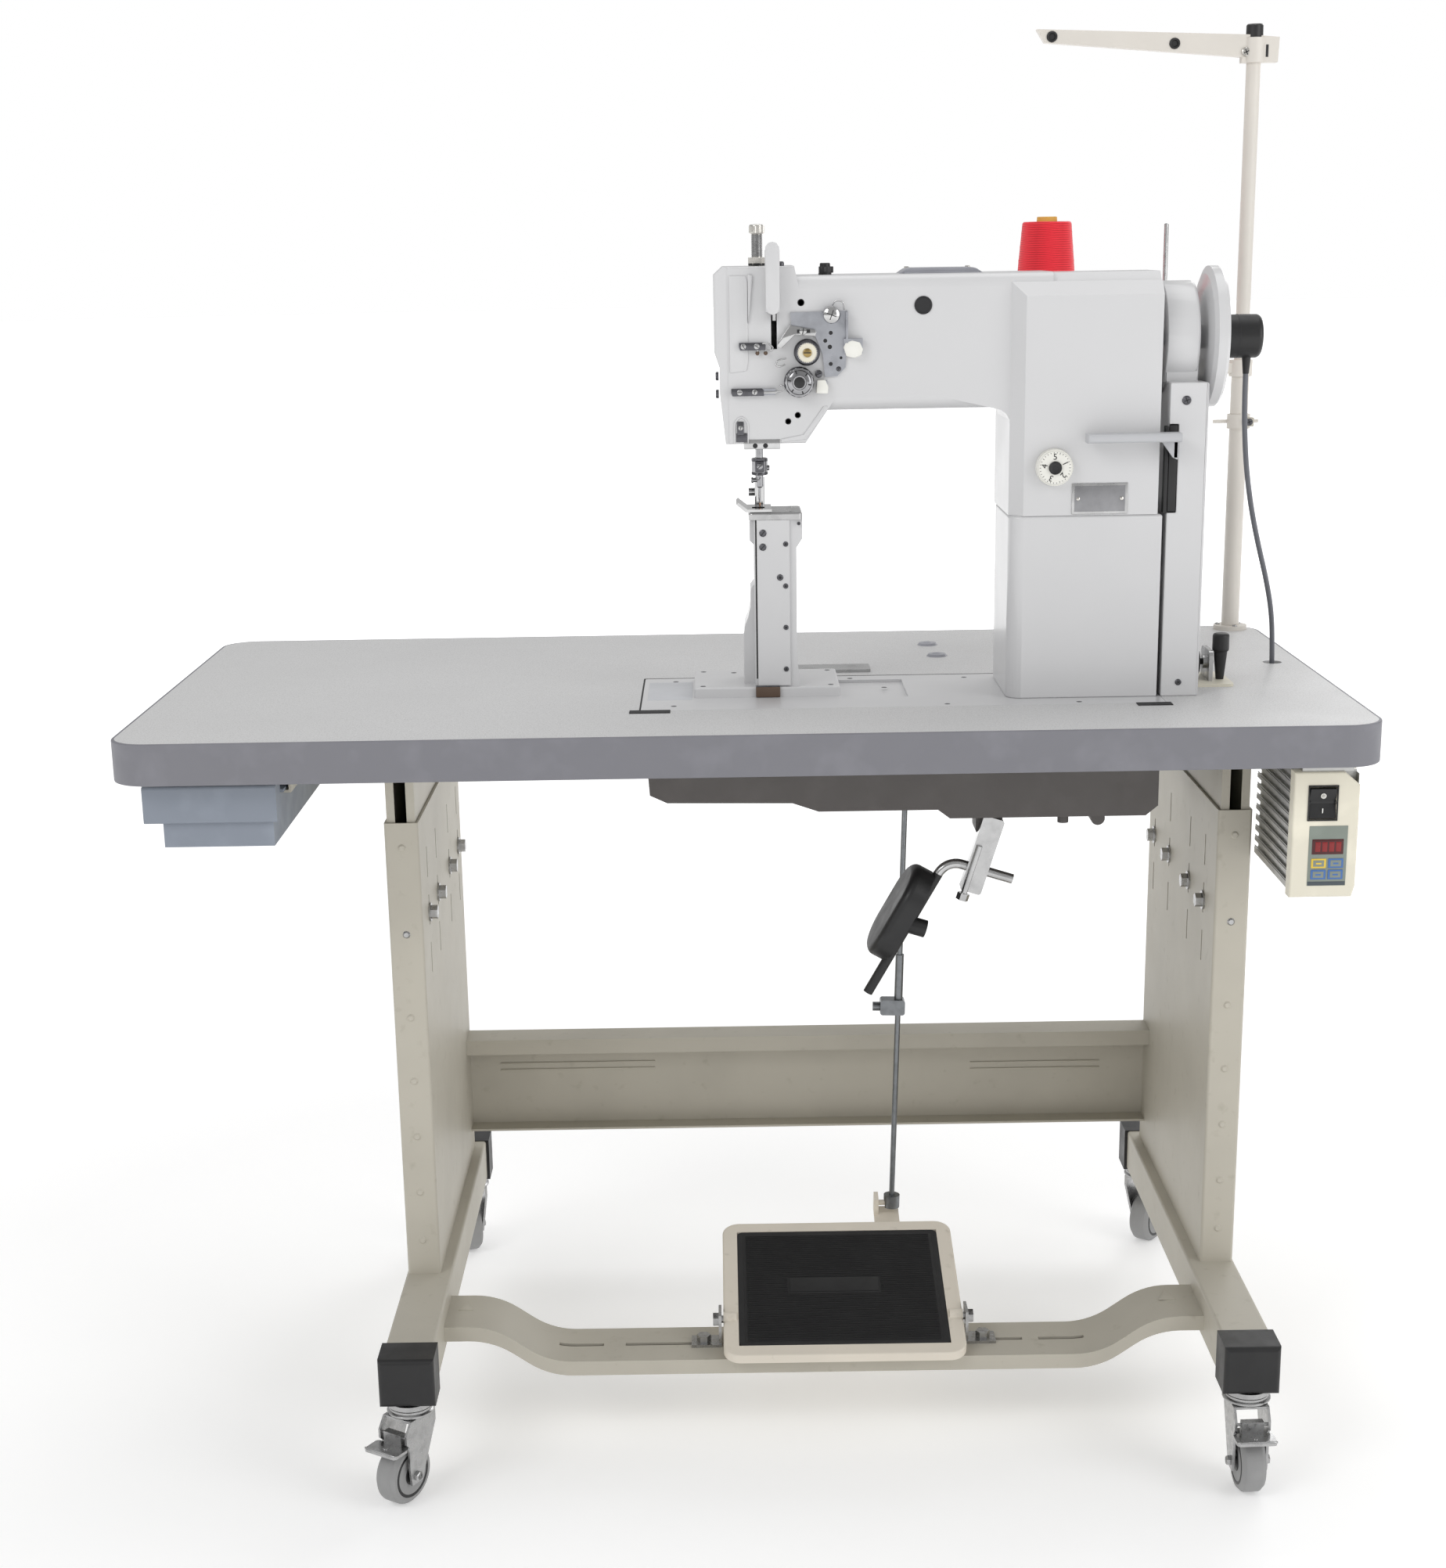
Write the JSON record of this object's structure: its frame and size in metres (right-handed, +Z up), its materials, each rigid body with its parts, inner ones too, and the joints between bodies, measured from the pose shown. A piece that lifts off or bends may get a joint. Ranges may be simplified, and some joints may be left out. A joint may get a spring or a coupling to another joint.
{
  "type": "post-bed sewing machine on a wheeled table",
  "caption": "Post-bed lockstitch sewing machine on a height-adjustable wheeled table with treadle, knee lifter, servo control box, drawer and thread stand.",
  "frame": {"origin": "on the floor under the middle of the whole machine's bounding box", "axes": "+Z up, +X to the operator's right along the table, +Y away from the operator"},
  "size_m": [1.2, 0.6952, 1.436],
  "materials": {
    "enamel": "semi-gloss warm white enamel",
    "stand_paint": "satin cream-beige powder coat",
    "laminate": "matte pale grey speckled laminate on board",
    "edge": "matte lavender-grey edge band",
    "black_plastic": "matte black",
    "grey_plastic": "matte grey moulded plastic",
    "white_plastic": "satin white moulded plastic",
    "rubber": "matte",
    "tread": "matte grey",
    "zinc": "bright zinc plate",
    "steel": "ground",
    "chrome": "polished",
    "cast_aluminium": "satin cast",
    "belt_rubber": "matte",
    "bezel": "satin cream",
    "thread": "red wound thread",
    "vinyl": "smooth cable jacket"
  },
  "bodies": {
    "stand": {"left_leg": "stand_paint", "right_leg": "stand_paint", "stretcher": "stand_paint", "footrest_bar": "stand_paint", "foot_end_caps": "black_plastic", "stand_hardware": "zinc"},
    "fork_front_left": {"caster_front_left_fork": "zinc"},
    "wheel_front_left": {"caster_front_left_wheel": "tread"},
    "brake_front_left": {"caster_front_left_brake": "zinc"},
    "fork_front_right": {"caster_front_right_fork": "zinc"},
    "wheel_front_right": {"caster_front_right_wheel": "tread"},
    "brake_front_right": {"caster_front_right_brake": "zinc"},
    "fork_rear_left": {"caster_rear_left_fork": "zinc"},
    "wheel_rear_left": {"caster_rear_left_wheel": "tread"},
    "fork_rear_right": {"caster_rear_right_fork": "zinc"},
    "wheel_rear_right": {"caster_rear_right_wheel": "tread"},
    "treadle": {"treadle_plate": "stand_paint", "treadle_mat": "rubber"},
    "pitman": {"pitman_rod": "zinc"},
    "table": {"tabletop": "laminate", "table_edge_band": "edge", "under_table_brackets": "stand_paint", "oil_pan": "grey_plastic", "table_rubbers": "rubber", "servo_motor": "black_plastic", "v_belt": "belt_rubber", "control_box": "cast_aluminium", "control_panel": "bezel", "bed_casting": "enamel", "post_casting": "enamel", "post_cover": "steel", "needle_plate": "steel", "column_base": "enamel", "arm_casting": "enamel", "face_cover": "enamel", "belt_cover": "enamel", "sync_unit": "black_plastic", "sync_cable": "vinyl", "thread_plate": "chrome", "thread_stand": "stand_paint", "thread_cone": "thread", "bobbin_winder": "steel"},
    "drawer": {"drawer_tray": "grey_plastic"},
    "handwheel": {"handwheel": "enamel", "main_shaft": "steel"},
    "motor_shaft": {"motor_pulley": "steel"},
    "hook": {"rotary_hook": "steel"},
    "needle": {"needle_bar": "chrome"},
    "presser": {"presser_foot": "steel"},
    "take_up": {"take_up_lever": "steel"},
    "regulator": {"presser_regulator": "chrome"},
    "upper_tension": {"tension_upper": "chrome"},
    "lower_tension": {"tension_lower": "chrome"},
    "dial": {"stitch_dial": "white_plastic"},
    "reverse": {"reverse_lever": "cast_aluminium"},
    "knee": {"knee_lever": "chrome"},
    "speed": {"speed_lever": "black_plastic"},
    "rocker": {"power_rocker": "black_plastic"},
    "thread_arm": {"thread_arm": "white_plastic"},
    "bobbin": {"bobbin_wheel": "rubber"}
  },
  "joints": [
    {"name": "swivel_front_left", "type": "hinge", "parent": "stand", "child": "fork_front_left", "pos_m": [-0.346, -0.29437, 0.1], "axis": [0, 0, 1], "continuous": true},
    {"name": "roll_front_left", "type": "hinge", "parent": "fork_front_left", "child": "wheel_front_left", "pos_m": [-0.35501, -0.30879, 0.0315], "axis": [-0.848, 0.5299, 0], "continuous": true},
    {"name": "brake_press_front_left", "type": "hinge", "parent": "fork_front_left", "child": "brake_front_left", "pos_m": [-0.36004, -0.31684, 0.0755], "axis": [0.848, -0.5299, 0], "range_deg": [0, 12], "stiffness_Nm_per_rad": 2, "springref_deg": -5.73},
    {"name": "swivel_front_right", "type": "hinge", "parent": "stand", "child": "fork_front_right", "pos_m": [0.493, -0.29437, 0.1], "axis": [0, 0, 1], "continuous": true},
    {"name": "roll_front_right", "type": "hinge", "parent": "fork_front_right", "child": "wheel_front_right", "pos_m": [0.49359, -0.31136, 0.0315], "axis": [-0.9994, -0.0349, 0], "continuous": true},
    {"name": "brake_press_front_right", "type": "hinge", "parent": "fork_front_right", "child": "brake_front_right", "pos_m": [0.49393, -0.32085, 0.0755], "axis": [0.9994, 0.0349, 0], "range_deg": [0, 12], "stiffness_Nm_per_rad": 2, "springref_deg": -5.73},
    {"name": "swivel_rear_left", "type": "hinge", "parent": "stand", "child": "fork_rear_left", "pos_m": [-0.346, 0.29963, 0.1], "axis": [0, 0, 1], "continuous": true},
    {"name": "roll_rear_left", "type": "hinge", "parent": "fork_rear_left", "child": "wheel_rear_left", "pos_m": [-0.35181, 0.31561, 0.0315], "axis": [0.9397, 0.342, 0], "continuous": true},
    {"name": "swivel_rear_right", "type": "hinge", "parent": "stand", "child": "fork_rear_right", "pos_m": [0.493, 0.29963, 0.1], "axis": [0, 0, 1], "continuous": true},
    {"name": "roll_rear_right", "type": "hinge", "parent": "fork_rear_right", "child": "wheel_rear_right", "pos_m": [0.50275, 0.31356, 0.0315], "axis": [0.8192, -0.5736, 0], "continuous": true},
    {"name": "treadle_tilt", "type": "hinge", "parent": "stand", "child": "treadle", "pos_m": [0.0955, -0.15337, 0.119], "axis": [-1, 0, 0], "range_deg": [-4, 8], "stiffness_Nm_per_rad": 60, "springref_deg": -3.44},
    {"name": "pitman_turn", "type": "hinge", "parent": "treadle", "child": "pitman", "pos_m": [0.16, 0.03363, 0.171], "axis": [-1, 0, 0], "range_deg": [-8.5, 4.5]},
    {"name": "table_height", "type": "slide", "parent": "stand", "child": "table", "axis": [0, 0, 1], "range_m": [-0.03, 0.1]},
    {"name": "drawer_slide", "type": "slide", "parent": "table", "child": "drawer", "axis": [0, -1, 0], "range_m": [0, 0.25]},
    {"name": "handwheel_spin", "type": "hinge", "parent": "table", "child": "handwheel", "pos_m": [0.455, -0.06037, 1.12], "axis": [1, 0, 0], "continuous": true},
    {"name": "motor_spin", "type": "hinge", "parent": "table", "child": "motor_shaft", "pos_m": [0.425, 0.07763, 0.669], "axis": [1, 0, 0], "continuous": true},
    {"name": "hook_spin", "type": "hinge", "parent": "table", "child": "hook", "pos_m": [0.033, -0.06237, 0.875], "axis": [0, 0, 1], "continuous": true},
    {"name": "needle_slide", "type": "slide", "parent": "table", "child": "needle", "axis": [0, 0, 1], "range_m": [-0.022, 0.006]},
    {"name": "presser_lift", "type": "slide", "parent": "table", "child": "presser", "axis": [0, 0, 1], "range_m": [0, 0.008], "stiffness_N_per_m": 1200, "springref_m": -0.008},
    {"name": "take_up_swing", "type": "hinge", "parent": "table", "child": "take_up", "pos_m": [0.032, -0.04837, 1.147], "axis": [1, 0, 0], "range_deg": [-25, 20]},
    {"name": "regulator_turn", "type": "hinge", "parent": "table", "child": "regulator", "pos_m": [0.0188, -0.04837, 1.205], "axis": [0, 0, 1], "range_deg": [-180, 180]},
    {"name": "tension_upper_turn", "type": "hinge", "parent": "table", "child": "upper_tension", "pos_m": [0.0646, -0.12137, 1.1138], "axis": [0, -1, 0], "range_deg": [-180, 180]},
    {"name": "tension_lower_turn", "type": "hinge", "parent": "table", "child": "lower_tension", "pos_m": [0.0569, -0.12137, 1.086], "axis": [0, -1, 0], "range_deg": [-180, 180]},
    {"name": "dial_turn", "type": "hinge", "parent": "table", "child": "dial", "pos_m": [0.303, -0.13137, 1.002], "axis": [0, -1, 0], "range_deg": [-150, 150]},
    {"name": "reverse_press", "type": "hinge", "parent": "table", "child": "reverse", "pos_m": [0.419, -0.08337, 1.015], "axis": [1, 0, 0], "range_deg": [0, 25], "stiffness_Nm_per_rad": 3, "springref_deg": -8.59},
    {"name": "knee_lift", "type": "hinge", "parent": "table", "child": "knee", "pos_m": [0.246, -0.11837, 0.649], "axis": [0, -1, 0], "range_deg": [0, 20], "stiffness_Nm_per_rad": 12, "springref_deg": -5.73},
    {"name": "speed_lever_turn", "type": "hinge", "parent": "table", "child": "speed", "pos_m": [0.212, 0.11563, 0.675], "axis": [1, 0, 0], "range_deg": [-9.5, 18.5]},
    {"name": "rocker_press", "type": "hinge", "parent": "table", "child": "rocker", "pos_m": [0.548, -0.25337, 0.694], "axis": [1, 0, 0], "range_deg": [-8, 0]},
    {"name": "thread_arm_turn", "type": "hinge", "parent": "table", "child": "thread_arm", "pos_m": [0.569, 0.28763, 1.405], "axis": [0, 0, 1], "range_deg": [-90, 90]},
    {"name": "bobbin_spin", "type": "hinge", "parent": "table", "child": "bobbin", "pos_m": [0.47, -0.04337, 0.795], "axis": [1, 0, 0], "continuous": true}
  ],
  "couplings": [
    {"joint": "pitman_turn", "follows": "treadle_tilt", "ratio": -1},
    {"joint": "speed_lever_turn", "follows": "treadle_tilt", "ratio": 2.28},
    {"joint": "motor_spin", "follows": "handwheel_spin", "ratio": 1},
    {"joint": "hook_spin", "follows": "handwheel_spin", "ratio": -2}
  ]
}
